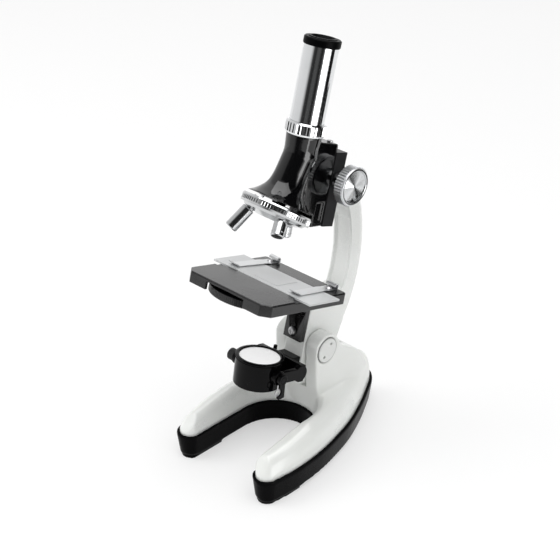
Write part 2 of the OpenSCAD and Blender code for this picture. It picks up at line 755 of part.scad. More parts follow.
module objective(k, l) {
  lens_seat(k) difference() {
    union() {
      translate([0, 0, -lens_seat_l]) cylinder(r = 3.03, h = lens_seat_l - 33.2);
      translate([0, 0, -l + 0.5]) cylinder(r = lens_r, h = l - lens_seat_l - 0.9);
      translate([0, 0, -l]) cylinder(r1 = lens_r - 0.35, r2 = lens_r, h = 0.5 + eps);
      translate([0, 0, -lens_seat_l - 0.4 - eps]) cylinder(r1 = lens_r, r2 = lens_r - 0.4, h = 0.4 + eps);
    }
    translate([0, 0, -l - 1]) cylinder(r = 1.5, h = 30);
    translate([0, 0, -l - 1]) cylinder(r = 3.06, h = 1.9);
    // turned line above the end
    translate([0, 0, -l + 2.2]) difference() {
      cylinder(r = 6, h = 0.35);
      translate([0, 0, -1]) cylinder(r = lens_r - 0.2, h = 3);
    }
  }
}

module objective_low() {
  color(chrome) objective(0, low_l);
}

module objective_mid() {
  color(chrome) objective(2, mid_l);
}

module objective_high() {
  color(chrome) objective(1, high_l);
}

lens_list = [[0, low_l], [1, high_l], [2, mid_l]];

module objective_cells() {
  color(black_satin) for (q = lens_list) lens_seat(q[0]) difference() {
    translate([0, 0, -q[1] + 0.15]) cylinder(r = 3.04, h = 0.75);
    translate([0, 0, -q[1] - 1]) cylinder(r1 = 3.2, r2 = 1.2, h = 1.6);
    translate([0, 0, -q[1] - 1]) cylinder(r = 1.2, h = 3);
  }
}

module objective_lenses() {
  color(glass) for (q = lens_list) lens_seat(q[0]) {
    translate([0, 0, -q[1] + 0.9]) cylinder(r = 1.48, h = 1.6);
  }
}

/* stage ------------------------------------------------------------- */

// plan of the stage, inset by w
module stage_plan(w) {
  a = stage_w / 2;
  offset(delta = -w) polygon([[-a, stage_front + stage_cut], [-a + stage_cut, stage_front],
    [a - stage_cut, stage_front], [a, stage_front + stage_cut], [a, stage_back - stage_cut * 0.25],
    [a - stage_cut * 0.25, stage_back], [-a + stage_cut * 0.25, stage_back],
    [-a, stage_back - stage_cut * 0.25]]);
}

module stage() {
  color(black_gloss) posed() difference() {
    union() {
      difference() {
        union() {
          translate([0, 0, stage_z - stage_h]) linear_extrude(stage_h - 0.5) stage_plan(0);
          translate([0, 0, stage_z - 0.5 - eps]) linear_extrude(0.5 + eps) stage_plan(0.35);
        }
        // hollow underside
        translate([0, 0, stage_z - stage_h - 1]) linear_extrude(stage_h - 1.1) stage_plan(1.8);
      }
      // hub of the aperture wheel
      translate([0, wheel_y, wheel_z + wheel_t + pass_gap])
        cylinder(r = 4.5, h = stage_z - 2 - wheel_z - wheel_t - pass_gap);
      // clip bosses
      for (s = [-1, 1])
        translate([s * clip_x, clip_y, stage_z - stage_h + 0.6]) cylinder(r = 3, h = stage_h - 1.6);
      // bracket down to the arm
      translate([-6.9, -14.8, 3.2]) cube([13.8, 3.8, 27]);
      translate([-6.9, -14.8, 30]) cube([13.8, 3.5, stage_z - 33]);
      translate([-6.9, -24, stage_z - stage_h]) cube([13.8, 11, 3.6]);
      for (s = [-1, 1]) translate([s * 5.6 - 0.9, 0, 0]) rotate([90, 0, 90]) linear_extrude(1.8)
        polygon([[-14.5, 22], [-14.5, stage_z - 4], [-27, stage_z - 4], [-27, stage_z - stage_h]]);
    }
    // slide channel
    translate([0, 0, bed_z]) linear_extrude(5)
      polygon([[-40, -axis_y - slide_w / 2 - 7], [-30, -axis_y - slide_w / 2 - 5],
        [-26.5, -axis_y - slide_w / 2 - 0.3], [26.5, -axis_y - slide_w / 2 - 0.3],
        [30, -axis_y - slide_w / 2 - 5], [40, -axis_y - slide_w / 2 - 7],
        [40, -axis_y + slide_w / 2 + 0.3], [-40, -axis_y + slide_w / 2 + 0.3]]);
    // light hole
    on_axis() translate([0, 0, 30]) cylinder(r = light_r, h = 20);
    // window for the wheel rim
    translate([-14.6, stage_front - 1, stage_z - stage_h - 1]) cube([29.2, 3.4, stage_h - 1]);
    // wheel screw and clip rivet holes
    translate([0, wheel_y, 30]) cylinder(r = 1.03, h = bed_z - 31);
    for (s = [-1, 1]) translate([s * clip_x, clip_y, 30]) cylinder(r = 1.2, h = 20);
    // upright slot for the clamp screw
    translate([0, -16, 0]) rotate([-90, 0, 0]) {
      translate([0, -7, 0]) cylinder(r = 2.1, h = 8);
      translate([0, -17, 0]) cylinder(r = 2.1, h = 8);
      translate([-2.1, -17, 0]) cube([4.2, 10, 8]);
    }
  }
}

module stage_screw() {
  color(steel) posed() translate([0, 0, clamp_z]) rotate([-90, 0, 0]) difference() {
    union() {
      translate([0, 0, -16.8]) cylinder(r1 = 1.8, r2 = 2.5, h = 0.6);
      translate([0, 0, -16.2 - eps]) cylinder(r = 2.5, h = 1.4 + eps);
      translate([0, 0, -15]) cylinder(r = 1.52, h = 14);
    }
    translate([-1.6, -0.3, -17.6]) cube([3.2, 0.6, 1.3]);
    translate([-0.3, -1.6, -17.6]) cube([0.6, 3.2, 1.3]);
  }
}

// spring clip: flat strip, turned-up toe, curled heel
module clip(s, a) {
  color(chrome) posed() translate([s * clip_x, clip_y, stage_z]) rotate([0, 0, a]) difference() {
    rotate([90, 0, 90]) translate([0, 0, -clip_w / 2]) linear_extrude(clip_w) union() {
      polygon([[3, 0.05], [3, 0.55], [-3.4, 0.55], [-7.6, 0.85], [-27.6, 0.75], [-30.4, 2.3], [-30.7, 1.8],
        [-27.8, 0.2], [-7.6, 0.32], [-3.4, 0.05]]);
      difference() {
        translate([3, 1.85]) circle(r = 1.8);
        translate([3, 1.85]) circle(r = 1.3);
        translate([-1.6, 0.56]) square([4.6, 1.4]);
      }
    }
    translate([0, 0, -1]) cylinder(r = 1.2 + run_fit, h = 3);
  }
}

module clip_right() {
  clip(1, 0);
}

module clip_left() {
  clip(-1, -5);
}

module clip_rivet(s) {
  color(steel) posed() translate([s * clip_x, clip_y, 0]) {
    translate([0, 0, stage_z + 0.6]) cylinder(r1 = 2.3, r2 = 1.5, h = 0.9);
    translate([0, 0, stage_z - stage_h]) cylinder(r = 1.17, h = stage_h + 0.8);
    translate([0, 0, stage_z - stage_h - 0.2]) cylinder(r = 2, h = 0.8);
  }
}

module clip_rivet_right() {
  clip_rivet(1);
}

module clip_rivet_left() {
  clip_rivet(-1);
}

module aperture_wheel() {
  color(black_satin) posed() translate([0, wheel_y, wheel_z]) difference() {
    union() {
      linear_extrude(wheel_t) polygon(ribs(wheel_r, 0.35, 120));
    }
    // web a little lower than the rim
    translate([0, 0, 3.2]) difference() {
      cylinder(r = wheel_r - 1.8, h = 5);
      cylinder(r = 3.4, h = 5);
    }
    translate([0, 0, -1]) cylinder(r = 1.5 + run_fit, h = 10);
    // five light openings
    for (i = [0 : 4])
      rotate([0, 0, 90 + 72 * i]) translate([wheel_aim, 0, -1]) cylinder(r = 6 - 1.1 * i, h = 4);
  }
}

wheel_aim = -axis_y - wheel_y;

module wheel_screw() {
  color(steel) posed() translate([0, wheel_y, 0]) {
    translate([0, 0, wheel_z - 1.1]) cylinder(r = 3, h = 1);
    translate([0, 0, wheel_z - 0.2]) cylinder(r = 1.5, h = wheel_t + 0.2 + pass_gap);
    translate([0, 0, wheel_z + wheel_t]) cylinder(r = 1.02, h = 1.4);
  }
}

module glass_slide() {
  color(glass) posed() translate([-slide_l / 2, -axis_y - slide_w / 2, bed_z])
    cube([slide_l, slide_w, slide_t]);
}

module cover_glass() {
  color(glass) posed() translate([-9, -axis_y - 9, bed_z + slide_t]) cube([18, 18, 0.17]);
}

/* lamp -------------------------------------------------------------- */

module lamp_frame() {
  posed() translate([0, -axis_y, drum_axis]) children();
}

// frame of the drum, pitched about its hinge
module drum_frame() {
  lamp_frame() rotate([drum_pitch, 0, 0]) children();
}

lever_lean = 8;
lever_l = 12;
yoke_in = 15;
yoke_out = 17.8;
yoke_back = 18.3;

module lamp_yoke() {
  color(black_gloss) difference() {
    union() {
      lamp_frame() {
        for (s = [-1, 1]) {
          bar_x(s > 0 ? yoke_in : -yoke_out, s > 0 ? yoke_out : -yoke_in, 4.4);
          translate([s > 0 ? yoke_in : -yoke_out, 0, -3.6]) cube([yoke_out - yoke_in, yoke_back + 1, 7.2]);
          translate([s > 0 ? yoke_in : -yoke_out, yoke_back, 0]) bar_x(0, yoke_out - yoke_in, 5.2);
        }
        translate([-yoke_out, yoke_back, -5.2]) cube([2 * yoke_out, 3.2, 10.4]);
        translate([-6.6, yoke_back, -9.5]) cube([13.2, axis_y - 11 - yoke_back, 14.3]);
        translate([-6.5, yoke_back + 1.6, 4.5]) cylinder(r = 1.2, h = 4.2);
      }
    }
    lamp_frame() bar_x(-30, 30, 2 + run_fit);
    lamp_frame() bar_x(-yoke_in, yoke_in, 18.1);
    posed() translate([0, -40, -13]) rotate([-90, 0, 0]) {
      cylinder(r = 1.55, h = 40);
      cylinder(r = 2.7, h = 40 - axis_y + yoke_back + 2.2);
    }
  }
}

module yoke_screw() {
  color(steel) posed() translate([0, -axis_y + yoke_back, -13]) rotate([-90, 0, 0]) difference() {
    union() {
      translate([0, 0, 0.4]) cylinder(r = 2.5, h = 1.8);
      translate([0, 0, 2]) cylinder(r = 1.23, h = 17);
    }
    for (a = [0, 90]) rotate([0, 0, a]) translate([-1.6, -0.3, 0]) cube([3.2, 0.6, 1.2]);
  }
}

module lamp_drum() {
  top = -drum_z - drum_axis;
  color(black_gloss) drum_frame() difference() {
    union() {
      translate([0, 0, top - drum_h]) cylinder(r1 = drum_r - 0.25, r2 = drum_r - 0.1, h = drum_h - 1.6);
      translate([0, 0, top - 1.6 - eps]) cylinder(r = drum_r, h = 1.2 + eps);
      translate([0, 0, top - 0.4 - eps]) cylinder(r1 = drum_r, r2 = drum_r - 0.4, h = 0.4 + eps);
      bar_x(-21.4, -10, 2);
      bar_x(10, 20.6, 2);
      for (s = [-1, 1]) bar_x(s > 0 ? 10 : -yoke_in + pass_gap, s > 0 ? yoke_in - pass_gap : -10, 3.4);
    }
    // mirror recess
    translate([0, 0, top - 0.8]) cylinder(r = mirror_r + 0.3, h = 5);
    translate([0, 0, top - 2.1]) cylinder(r = mirror_r + 0.03, h = 5);
    // battery and lamp chamber
    translate([0, 0, top - 8.6]) cylinder(r = 6.6, h = 6.51);
    translate([0, 0, top - drum_h + 2]) cylinder(r = 4.6, h = 8);
    translate([0, 0, top - drum_h - 1]) cylinder(r = 5.52, h = 3.2);
  }
}

module lamp_mirror() {
  color([0.9, 0.92, 0.94]) drum_frame()
    translate([0, 0, -drum_z - drum_axis - 2.1]) cylinder(r = mirror_r, h = 1.3);
}

module lamp_cells() {
  color(steel) drum_frame() for (i = [0, 1])
    translate([0, 0, -drum_z - drum_axis - 8.6 + i * 3.25]) cylinder(r = 6.4, h = 3.2);
}

module lamp_led() {
  color([0.95, 0.95, 0.85]) drum_frame() translate([0, 0, -drum_z - drum_axis - 8.6]) {
    translate([0, 0, -1.2]) cylinder(r = 4.55, h = 1.2);
    translate([0, 0, -3.4]) cylinder(r = 2.5, h = 2.2 + eps);
    translate([0, 0, -3.4]) sphere(r = 2.5);
  }
}

module lamp_lens() {
  color(glass) drum_frame() translate([0, 0, -drum_z - drum_axis - drum_h]) {
    cylinder(r = 5.5, h = 2.18);
    translate([0, 0, -3.6]) cylinder(r1 = 4.3, r2 = 5.3, h = 3.6 + eps);
    translate([0, 0, -5.2]) cylinder(r1 = 3.3, r2 = 4.3, h = 1.6 + eps);
    translate([0, 0, -6]) cylinder(r1 = 1.6, r2 = 3.3, h = 0.8 + eps);
  }
}

module lamp_knob() {
  color(black_satin) lamp_frame() difference() {
    translate([-22.6, 0, 0]) rotate([0, 90, 0])
      linear_extrude(22.6 - yoke_out - pass_gap) polygon(ribs(3.6, 0.25, 20));
    bar_x(-21.4, 0, 2.02);
  }
}

module lamp_lever() {
  color(black_gloss) lamp_frame() difference() {
    union() {
      bar_x(yoke_out + pass_gap, 20.6, 3.4);
      translate([yoke_out + pass_gap, 0, 0]) rotate([lever_lean, 0, 0])
        translate([0, -2.4, -lever_l]) cube([2, 4.8, lever_l]);
    }
    bar_x(0, 40, 2.02);
    // notch for the wire eye
    rotate([lever_lean, 0, 0]) translate([yoke_out, -2.9, -lever_l + 4.6]) bar_x(0, 4, 2.55);
  }
}

module lamp_spring() {
  color(steel) lamp_frame() translate([yoke_out + pass_gap + 1, 0, 0]) rotate([lever_lean, 0, 0]) {
    translate([0, -2.9, -lever_l + 6.4]) cylinder(r = 0.42, h = lever_l - 8.9);
    translate([0, -2.9, -lever_l + 4.6]) rotate([0, 90, 0])
      rotate_extrude(angle = 360) translate([1.9, 0]) circle(r = 0.42, $fn = 16);
  }
}

base_casting();
base_tray();
tray_screws();
tilt_pin();
tilt_nut_right();
tilt_nut_left();
arm();
focus_guide();
guide_screws();
focus_rack();
head_housing();
housing_screw();
pinion_shaft();
focus_knob_right();
focus_knob_left();
tube_collar();
body_tube();
eyepiece_body();
eye_lens();
field_lens();
nosepiece_ring();
nosepiece_cap();
nosepiece_screw();
click_spring();
objective_low();
objective_mid();
objective_high();
objective_cells();
objective_lenses();
stage();
stage_screw();
clip_right();
clip_left();
clip_rivet_right();
clip_rivet_left();
aperture_wheel();
wheel_screw();
glass_slide();
cover_glass();
lamp_yoke();
yoke_screw();
lamp_drum();
lamp_mirror();
lamp_lens();
lamp_led();
lamp_cells();
lamp_knob();
lamp_lever();
lamp_spring();
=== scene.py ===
"""Looks of the student microscope. Laid out as an add-on, run as a script."""

import math

import bpy
from mathutils import Matrix, Vector


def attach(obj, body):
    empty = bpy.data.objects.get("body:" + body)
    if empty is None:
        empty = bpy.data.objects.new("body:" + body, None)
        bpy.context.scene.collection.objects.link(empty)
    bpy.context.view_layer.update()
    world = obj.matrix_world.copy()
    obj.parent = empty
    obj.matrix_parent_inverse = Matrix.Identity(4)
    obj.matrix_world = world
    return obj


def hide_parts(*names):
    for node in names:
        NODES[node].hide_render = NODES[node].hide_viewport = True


bl_info = {
    "name": "Student microscope",
    "version": (1, 0, 0),
    "blender": (4, 5, 0),
    "location": "View3D > Sidebar > Microscope",
    "description": "Dresses the packed solids of a student microscope",
    "category": "Object",
}

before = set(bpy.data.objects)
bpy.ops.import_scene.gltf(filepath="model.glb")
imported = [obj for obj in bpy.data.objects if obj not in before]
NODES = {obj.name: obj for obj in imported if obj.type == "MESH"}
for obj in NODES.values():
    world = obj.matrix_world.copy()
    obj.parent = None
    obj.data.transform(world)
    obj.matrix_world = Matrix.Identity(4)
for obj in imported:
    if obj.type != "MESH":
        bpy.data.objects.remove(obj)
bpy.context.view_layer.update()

# the arm leans back about the tilt pin; KNOB_AXIS is given in the leaning frame
LEAN = math.radians(15.5)
PIVOT = Vector((0.0, 0.0088, 0.0641))
TILT = Matrix.Translation(PIVOT) @ Matrix.Rotation(-LEAN, 4, "X")
KNOB_AXIS = Vector((0.0, -0.0145, 0.1049))

# focus knob: wall, thickness with its lip, outer face from the middle plane
KNOB_RADIUS = 0.0119
KNOB_THICK = 0.006
KNOB_LIP = 0.0009
KNOB_OUTSIDE = 0.0232
KNOB_RIBS = 44
RIB_DEPTH = 0.0008
RIB_SINK = 0.95 * RIB_DEPTH
KNOB_RINGS = 22
RING_BAND = 0.0086
RING_RISE, RING_FALL = 0.00008, -0.00006
# insets of the front: shoulder behind the ribs, rounded lip, flat rim, step down to the dish
FRONT_STEPS = (
    (RIB_DEPTH, 0.0),
    (0.00002, 0.0005),
    (0.0002, 0.0003),
    (0.0003, 0.0001),
    (0.0009, 0.0),
    (0.0002, -0.0001),
    (0.0002, -0.0009),
)
# insets of the back: shoulder, lip, hollow and hub
BACK_STEPS = (
    (RIB_DEPTH, 0.0),
    (0.0012, 0.0002),
    (0.0002, -0.0022),
    (0.0047, 0.0),
    (0.00002, 0.009),
)
# radii between which the plating changes from the face to the knurled wall
WALL_EDGE = (0.0106, 0.011)

# tilt nut: direction of the two key holes, their distance from the pin, and the soft edges of
# the painted shade in the holes and round the rim
NUT_KEY = (math.cos(math.radians(49)), math.sin(math.radians(49)))
NUT_HOLE = 0.0046
NUT_HOLE_EDGE = (0.00085, 0.00065)
NUT_RIM_EDGE = (0.0074, 0.0078)

# mesh size of the arm's and the tray's skins, and the limits for copied meshes
ARM_SKIN = 0.0006
TRAY_SKIN = 0.00065
WELD = 0.000003
FLAT_ANGLE = math.radians(0.6)
EDGE_ANGLE = math.radians(32)
SMOOTH_ANGLE = math.radians(35)
RING_ANGLE = math.radians(8)

# brightness of the room in two belts, by bearing in degrees from the camera's side, which lies
# ROOM_TURN clockwise of +X, and the heights (as the Z of a direction) over which a belt gives
# way to what is above it
ROOM_TURN = math.radians(46.3)
BELT_PEAK = 1.5
LOW_BELT_TOP = (0.10, 0.24)
MIDDLE_BELT_TOP = (0.80, 0.93)
WHITE = (1.0, 1.0, 1.0)
SOFT_LIGHT = 0.6
FLOOR_SEEN_GLOW = 0.5
FLOOR_GLOSS_GLOW = 0.3
LOW_BELT = (
    (-180, 1.35),
    (-160, 0.9),
    (-62, 0.76),
    (-52, 0.45),
    (-44, 0.05),
    (-30, 0.02),
    (-20, 0.08),
    (-6, 0.08),
    (3, 0.02),
    (13, 0.015),
    (20, 0.12),
    (27, 0.9),
    (34, 1.25),
    (58, 1.25),
    (67, 0.35),
    (74, 0.01),
    (95, 0.01),
    (108, 0.4),
    (120, 0.7),
    (160, 0.9),
    (180, 1.35),
)
MIDDLE_BELT = (
    (-180, 1.1),
    (-146, 1.1),
    (-134, 0.75),
    (-96, 0.7),
    (-66, 0.5),
    (-58, 0.06),
    (-28, 0.015),
    (62, 0.015),
    (70, 0.2),
    (80, 0.1),
    (92, 0.015),
    (146, 0.015),
    (162, 0.7),
    (180, 1.1),
)
CEILING = (0.55, 0.55, 0.55)

# name, bearing in degrees from +X, distance, half width and height
CARDS = (
    ("right_flag", 37.2, 0.5, 0.138, 0.5),
    ("near_flag", 54.0, 0.25, 0.035, 0.13),
)
HIDDEN_FROM = ("camera", "diffuse", "shadow", "transmission", "volume_scatter")

# name, place, aim, width, depth, watts and the rays that don't see it
SOFTBOXES = (
    ("top_softbox", (0.3, 0.2, 1.75), (0.3, 0.2, 0.1), 2.3, 2.0, 38, "visible_diffuse"),
    ("high_softbox", (0.35, -0.15, 1.65), (0, 0, 0.1), 1.6, 1.6, 14, "visible_glossy"),
    ("low_strip", (0.62, -0.03, 0.12), (0, 0, 0.17), 0.36, 0.24, 1.1, "visible_diffuse"),
    ("left_softbox", (-0.85, -0.9, 1.15), (0, 0, 0.1), 0.9, 0.9, 7, "visible_glossy"),
)

# camera: its axes, the point it is aimed near, distance, shift and lens over sensor width
CAMERA_BACK = Vector((0.60117, -0.62822, 0.49392))
CAMERA_RIGHT = Vector((0.72250, 0.69138, 0.0))
CAMERA_AIM = Vector((0.0, -0.0112, 0.110))
CAMERA_DISTANCE = 0.8235
CAMERA_SHIFT = (-0.00216, 0.00341)
SENSOR_WIDTH = 36.0
LENS_SHARE = 1423.9 / 560


# ---------------------------------------------------------------- shader sums


class Value:
    """A socket that takes part in Python sums and adds its Math nodes."""

    def __init__(self, finish, socket):
        self.finish = finish
        self.socket = socket

    def sum(self, operation, *terms):
        """One Math node on the terms, which are values or numbers."""
        inputs = dict(enumerate(terms))
        node = self.finish.node("ShaderNodeMath", {"operation": operation}, inputs)
        return Value(self.finish, node.outputs[0])

    def __add__(self, other):
        return self.sum("ADD", self, other)

    def __radd__(self, other):
        return self.sum("ADD", other, self)

    def __sub__(self, other):
        return self.sum("SUBTRACT", self, other)

    def __rsub__(self, other):
        return self.sum("SUBTRACT", other, self)

    def __mul__(self, other):
        return self.sum("MULTIPLY", self, other)

    def __rmul__(self, other):
        return self.sum("MULTIPLY", other, self)

    def __truediv__(self, other):
        return self.sum("DIVIDE", self, other)

    def __rtruediv__(self, other):
        return self.sum("DIVIDE", other, self)

    def root(self):
        return self.sum("SQRT", self)

    def size(self):
        return self.sum("ABSOLUTE", self)

    def ramp(self, low, high):
        """0 at low, 1 at high, smooth between and level beyond."""
        node = self.finish.node(
            "ShaderNodeMapRange",
            {"interpolation_type": "SMOOTHSTEP"},
            {"Value": self, "From Min": low, "From Max": high},
        )
        return Value(self.finish, node.outputs["Result"])


class Nodes:
    """An empty node tree and the ways to add to it."""

    def __init__(self, tree):
        self.tree = tree
        self.tree.nodes.clear()

    def node(self, kind, settings=None, inputs=None):
        """Adds a node, sets it up, then fills its sockets with values or links."""
        node = self.tree.nodes.new(kind)
        for key, value in (settings or {}).items():
            if key == "stops":
                self.fill_ramp(node.color_ramp, value)
            else:
                setattr(node, key, value)
        for key, value in (inputs or {}).items():
            self.fill(node.inputs[key], value)
        return node

    def fill(self, socket, value):
        """Links a socket to a value, or sets its constant."""
        if isinstance(value, Value):
            value = value.socket
        if isinstance(value, bpy.types.NodeSocket):
            self.tree.links.new(value, socket)
        elif socket.type == "RGBA":
            socket.default_value = (*value[:3], 1.0)
        else:
            socket.default_value = value

    @staticmethod
    def fill_ramp(ramp, stops):
        """Replaces the stops of a colour ramp."""
        while len(ramp.elements) > 1:
            ramp.elements.remove(ramp.elements[-1])
        for i, (place, colour) in enumerate(stops):
            stop = ramp.elements[0] if i == 0 else ramp.elements.new(place)
            stop.position = place
            stop.color = colour

    def here(self):
        """Object coordinates, in metres."""
        return self.node("ShaderNodeTexCoord").outputs["Object"]

    def parts(self, vector):
        """X, Y and Z of a vector."""
        node = self.node("ShaderNodeSeparateXYZ", {}, {0: vector})
        return [Value(self, node.outputs[i]) for i in range(3)]

    def noise(self, scale, detail=2.0, roughness=0.5, stretch=None):
        """3-D noise, drawn out along an axis where stretch is below 1."""
        vector = self.here()
        if stretch:
            vector = self.node(
                "ShaderNodeVectorMath", {"operation": "MULTIPLY"}, {0: vector, 1: stretch}
            ).outputs[0]
        node = self.node(
            "ShaderNodeTexNoise",
            {"noise_dimensions": "3D"},
            {"Vector": vector, "Scale": scale, "Detail": detail, "Roughness": roughness},
        )
        return Value(self, node.outputs["Fac"])

    def mix(self, factor, a, b):
        """Colour a where factor is 0, colour b where it is 1."""
        node = self.node("ShaderNodeMix", {"data_type": "RGBA"}, {0: factor, 6: a, 7: b})
        return node.outputs[2]

    def blend(self, factor, a, b):
        """Shader of node a where factor is 0, of node b where it is 1."""
        inputs = {0: factor, 1: a.outputs[0], 2: b.outputs[0]}
        return self.node("ShaderNodeMixShader", {}, inputs)

    def rays(self, *kinds):
        """1 for the rays of each kind, 0 for the others."""
        path = self.node("ShaderNodeLightPath")
        return [Value(self, path.outputs[f"Is {kind} Ray"]) for kind in kinds]

    def bump(self, height, distance, strength):
        inputs = {"Height": height, "Distance": distance, "Strength": strength}
        return self.node("ShaderNodeBump", {}, inputs).outputs[0]


class Finish(Nodes):
    """A procedural material: one Principled shader and the nodes that vary it."""

    def __init__(self, name):
        self.material = bpy.data.materials.new(name)
        self.material.use_nodes = True
        super().__init__(self.material.node_tree)
        self.shader = self.node("ShaderNodeBsdfPrincipled")
        self.out = self.node("ShaderNodeOutputMaterial", {}, {"Surface": self.shader.outputs[0]})

    def set(self, **values):
        """Sets or links the shader's own sockets."""
        for key, value in values.items():
            self.fill(self.shader.inputs[key.replace("_", " ")], value)


# ---------------------------------------------------------------- finishes


def white_enamel(colour):
    """Thick gloss enamel on cast metal, with a faint orange peel."""
    f = Finish("white_enamel")
    cloud = f.noise(18, 3).ramp(0.35, 0.7)
    peel = f.noise(420, 2, 0.45)
    fine = f.noise(1500, 1)
    darker = [c * 0.965 for c in colour[:2]] + [colour[2] * 0.955]
    f.set(
        Base_Color=f.mix(cloud, colour, darker),
        Roughness=0.24 + 0.07 * cloud + 0.05 * fine,
        Coat_Weight=0.35,
        Coat_Roughness=0.08,
        Specular_IOR_Level=0.5,
        Normal=f.bump(peel + 0.15 * fine, 0.00012, 0.35),
    )
    return f.material


def nut_enamel(colour):
    """Enamel of the tilt nuts, with painted shade in the two key holes and a painted shadow
    round the rim.
    """
    f = Finish("nut_enamel")
    _, y, z = f.parts(f.here())
    dy, dz = y - PIVOT.y, z - PIVOT.z
    out = (dy * dy + dz * dz).root()
    across = (dy * NUT_KEY[0] + dz * NUT_KEY[1]).size() - NUT_HOLE
    along = dy * NUT_KEY[1] - dz * NUT_KEY[0]
    hole = (across * across + along * along).root().ramp(*NUT_HOLE_EDGE)
    rim = out.ramp(*NUT_RIM_EDGE)
    # painted shade: near black in the key holes, and a painted shadow of the seat gap round the
    # rim
    painted_shade = hole + rim * 0.6
    f.set(
        Base_Color=f.mix(painted_shade, colour, (0.03, 0.03, 0.03)),
        Roughness=0.26 + 0.05 * f.noise(1500, 1),
        Coat_Weight=0.3,
        Coat_Roughness=0.08,
    )
    return f.material


def black_gloss(name, colour, rough, peel_height=0.00008, gleam=0.5):
    """Moulded black plastic or enamel with a wet gloss."""
    f = Finish(name)
    cloud = f.noise(25, 3).ramp(0.35, 0.7)
    peel = f.noise(300, 2)
    fine = f.noise(1800, 2)
    lighter = [c * 1.35 + 0.001 for c in colour]
    f.set(
        Base_Color=f.mix(cloud, colour, lighter),
        Roughness=rough + 0.06 * cloud + 0.05 * fine,
        Specular_IOR_Level=gleam,
        Normal=f.bump(peel + 0.12 * fine, peel_height, 0.3),
    )
    return f.material


def matt_black(name, colour):
    """Dull black with a fine grain."""
    f = Finish(name)
    grain = f.noise(1600, 3)
    f.set(
        Base_Color=f.mix(f.noise(60, 2), colour, [c * 1.5 for c in colour]),
        Roughness=0.5 + 0.2 * grain,
        Normal=f.bump(grain, 0.00006, 0.5),
    )
    return f.material


def chrome_plate(name, colour, rough):
    """Bright plating with a trace of the polishing under it."""
    f = Finish(name)
    haze = f.noise(40, 3).ramp(0.4, 0.75)
    lines = f.noise(900, 2)
    f.set(
        Base_Color=f.mix(haze, colour, [c * 0.93 for c in colour]),
        Metallic=1.0,
        Roughness=rough + 0.035 * haze + 0.03 * lines,
        Normal=f.bump(lines, 0.00001, 0.25),
    )
    return f.material


def turned_chrome(name, colour):
    """Plating of the focus knobs, rougher and paler on the knurled wall than on the face."""
    f = Finish(name)
    axis = TILT @ KNOB_AXIS
    _, y, z = f.parts(f.here())
    dy, dz = y - axis.y, z - axis.z
    wall = (dy * dy + dz * dz).root().ramp(*WALL_EDGE)
    lines = f.noise(900, 2)
    f.set(
        Base_Color=f.mix(wall, [c * 0.86 for c in colour], colour),
        Metallic=1.0,
        Roughness=0.13 + 0.3 * wall + 0.03 * lines,
        Normal=f.bump(lines, 0.00001, 0.25),
    )
    return f.material


def steel(name, colour, rough):
    """Plain steel with a drawn grain."""
    f = Finish(name)
    lines = f.noise(1100, 3, stretch=(1, 1, 0.15))
    f.set(
        Base_Color=f.mix(lines, colour, [c * 0.8 for c in colour]),
        Metallic=1.0,
        Roughness=rough + 0.12 * lines,
        Normal=f.bump(lines, 0.00001, 0.3),
    )
    return f.material


def clear_glass(name, colour):
    """Polished lens glass with a faint smear."""
    f = Finish(name)
    smear = f.noise(55, 3).ramp(0.45, 0.8)
    f.set(
        Base_Color=f.mix(smear, colour, [c * 0.985 for c in colour]),
        Transmission_Weight=1.0,
        Roughness=0.02 + 0.03 * smear,
        IOR=1.5,
    )
    return f.material


def pale_glass(name, colour):
    """Glass of the specimen slide, shown as a pale grey solid under a gloss skin; the pale grey
    is a painted reflection of the bright room.
    """
    f = Finish(name)
    cloud = f.noise(45, 3).ramp(0.35, 0.75)
    grain = f.noise(1300, 2)
    f.set(
        Base_Color=f.mix(cloud, colour, [c * 0.95 for c in colour]),
        Roughness=0.3 + 0.1 * grain,
        Coat_Weight=0.3,
        Coat_Roughness=0.12,
    )
    return f.material


def silvered(name, colour):
    """Mirror disc shown as a white painted reflection, with a slight painted glow though it is
    no lamp.
    """
    f = Finish(name)
    haze = f.noise(70, 3)
    f.set(
        Base_Color=f.mix(haze, colour, [c * 0.97 for c in colour]),
        Metallic=0.0,
        Roughness=0.2 + 0.1 * haze,
        Coat_Weight=1.0,
        Coat_Roughness=0.03,
        # painted light: a glow on a disc that is no lamp
        Emission_Color=WHITE,
        Emission_Strength=0.3,
    )
    return f.material


def frosted(name, colour):
    """Milky plastic of the lamp."""
    f = Finish(name)
    grain = f.noise(900, 2)
    f.set(
        Base_Color=f.mix(grain, colour, [c * 0.92 for c in colour]),
        Roughness=0.4 + 0.1 * grain,
        Subsurface_Weight=0.2,
    )
    return f.material


def belt_stops(belt):
    """Stops of a colour ramp for a belt of the room, from bearings in degrees."""
    return [((angle + 180) / 360, (*[light / BELT_PEAK] * 3, 1)) for angle, light in belt]


# ---------------------------------------------------------------- mesh helpers


def deselect():
    """Leaves edit mode and selects nothing."""
    if bpy.context.object and bpy.context.object.mode != "OBJECT":
        bpy.ops.object.mode_set(mode="OBJECT")
    bpy.ops.object.select_all(action="DESELECT")


def activate(obj):
    """Makes one object the selected and active one."""
    deselect()
    obj.select_set(True)
    bpy.context.view_layer.objects.active = obj


def welded_copy(node, name, flatten=False):
    """A copy of a solid with its double vertices joined and, if wanted, its flat faces whole."""
    mesh = NODES[node].data.copy()
    mesh.materials.clear()
    obj = bpy.data.objects.new(name, mesh)
    bpy.context.scene.collection.objects.link(obj)
    activate(obj)
    bpy.ops.object.mode_set(mode="EDIT")
    bpy.ops.mesh.select_all(action="SELECT")
    bpy.ops.mesh.remove_doubles(threshold=WELD)
    if flatten:
        bpy.ops.mesh.dissolve_limited(angle_limit=FLAT_ANGLE)
    bpy.ops.object.mode_set(mode="OBJECT")
    return obj


def modify(obj, kind, **settings):
    """Adds a modifier to the active object, sets it up and applies it."""
    modifier = obj.modifiers.new(kind.lower(), kind)
    for key, value in settings.items():
        setattr(modifier, key, value)
    bpy.ops.object.modifier_apply(modifier=modifier.name)


